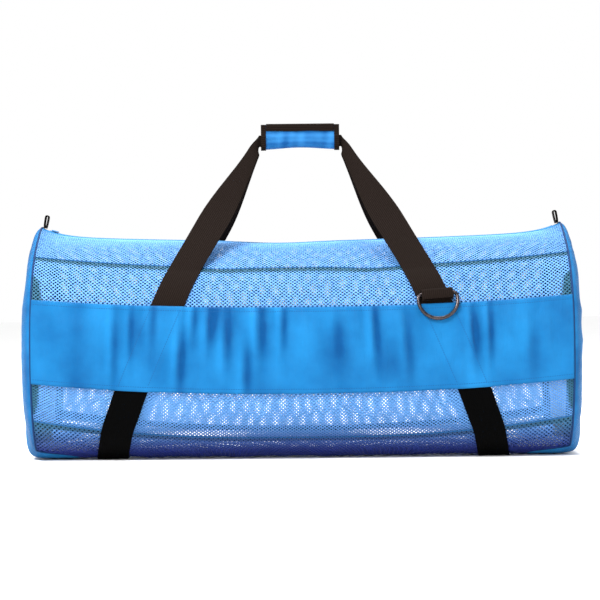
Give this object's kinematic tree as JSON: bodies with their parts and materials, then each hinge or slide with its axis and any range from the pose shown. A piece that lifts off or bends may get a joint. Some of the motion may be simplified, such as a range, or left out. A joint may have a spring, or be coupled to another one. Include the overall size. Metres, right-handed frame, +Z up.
{
  "type": "mesh dive gear bag",
  "caption": "Barrel-shaped mesh duffel with a nylon band and domed ends, a top zip, webbing handles joined by a wrap, and a swinging D-ring.",
  "frame": {"origin": "middle of the bag's base on the surface that it stands on", "axes": "+X along the bag to its right end seen from the front, -Y out of the front, which carries the ring, +Z up"},
  "size_m": [0.864, 0.3794, 0.522],
  "materials": {
    "mesh": "blue warp-knit polyester mesh with small open diamond holes, satin",
    "nylon": "bright blue coated nylon, fine weave, soft sheen",
    "webbing": "black polypropylene webbing, ribbed weave, matt",
    "binding": "black grosgrain binding tape, matt",
    "zip": "black coil zip on woven tape",
    "steel": "gunmetal plated wire, smooth and glossy"
  },
  "bodies": {
    "bag": {"top_mesh_front": "mesh", "top_mesh_back": "mesh", "front_mesh": "mesh", "back_mesh": "mesh", "bottom_mesh": "mesh", "front_band": "nylon", "back_band": "nylon", "end_panel_left": "nylon", "end_panel_right": "nylon", "handle_wrap": "nylon", "binding_top_front": "binding", "binding_top_back": "binding", "binding_bottom_front": "binding", "binding_bottom_back": "binding", "binding_end_left": "binding", "binding_end_right": "binding", "zip_tape_front": "zip", "zip_tape_back": "zip", "zip_chain": "zip", "zip_slider": "zip", "end_tab_left": "webbing", "end_tab_right": "webbing", "strap_front": "webbing", "strap_back": "webbing", "strap_under_left": "webbing", "strap_under_right": "webbing", "wrap_edging_left": "webbing", "wrap_edging_right": "webbing", "wrap_edging_top": "webbing", "ring_loop": "webbing"},
    "ring": {"d_ring": "steel"}
  },
  "joints": [
    {"name": "ring_swing", "type": "hinge", "parent": "bag", "child": "ring", "pos_m": [0.20426, -0.16858, 0.25146], "axis": [-0.9961, -0.05, -0.0724], "range_deg": [0, 165]}
  ]
}
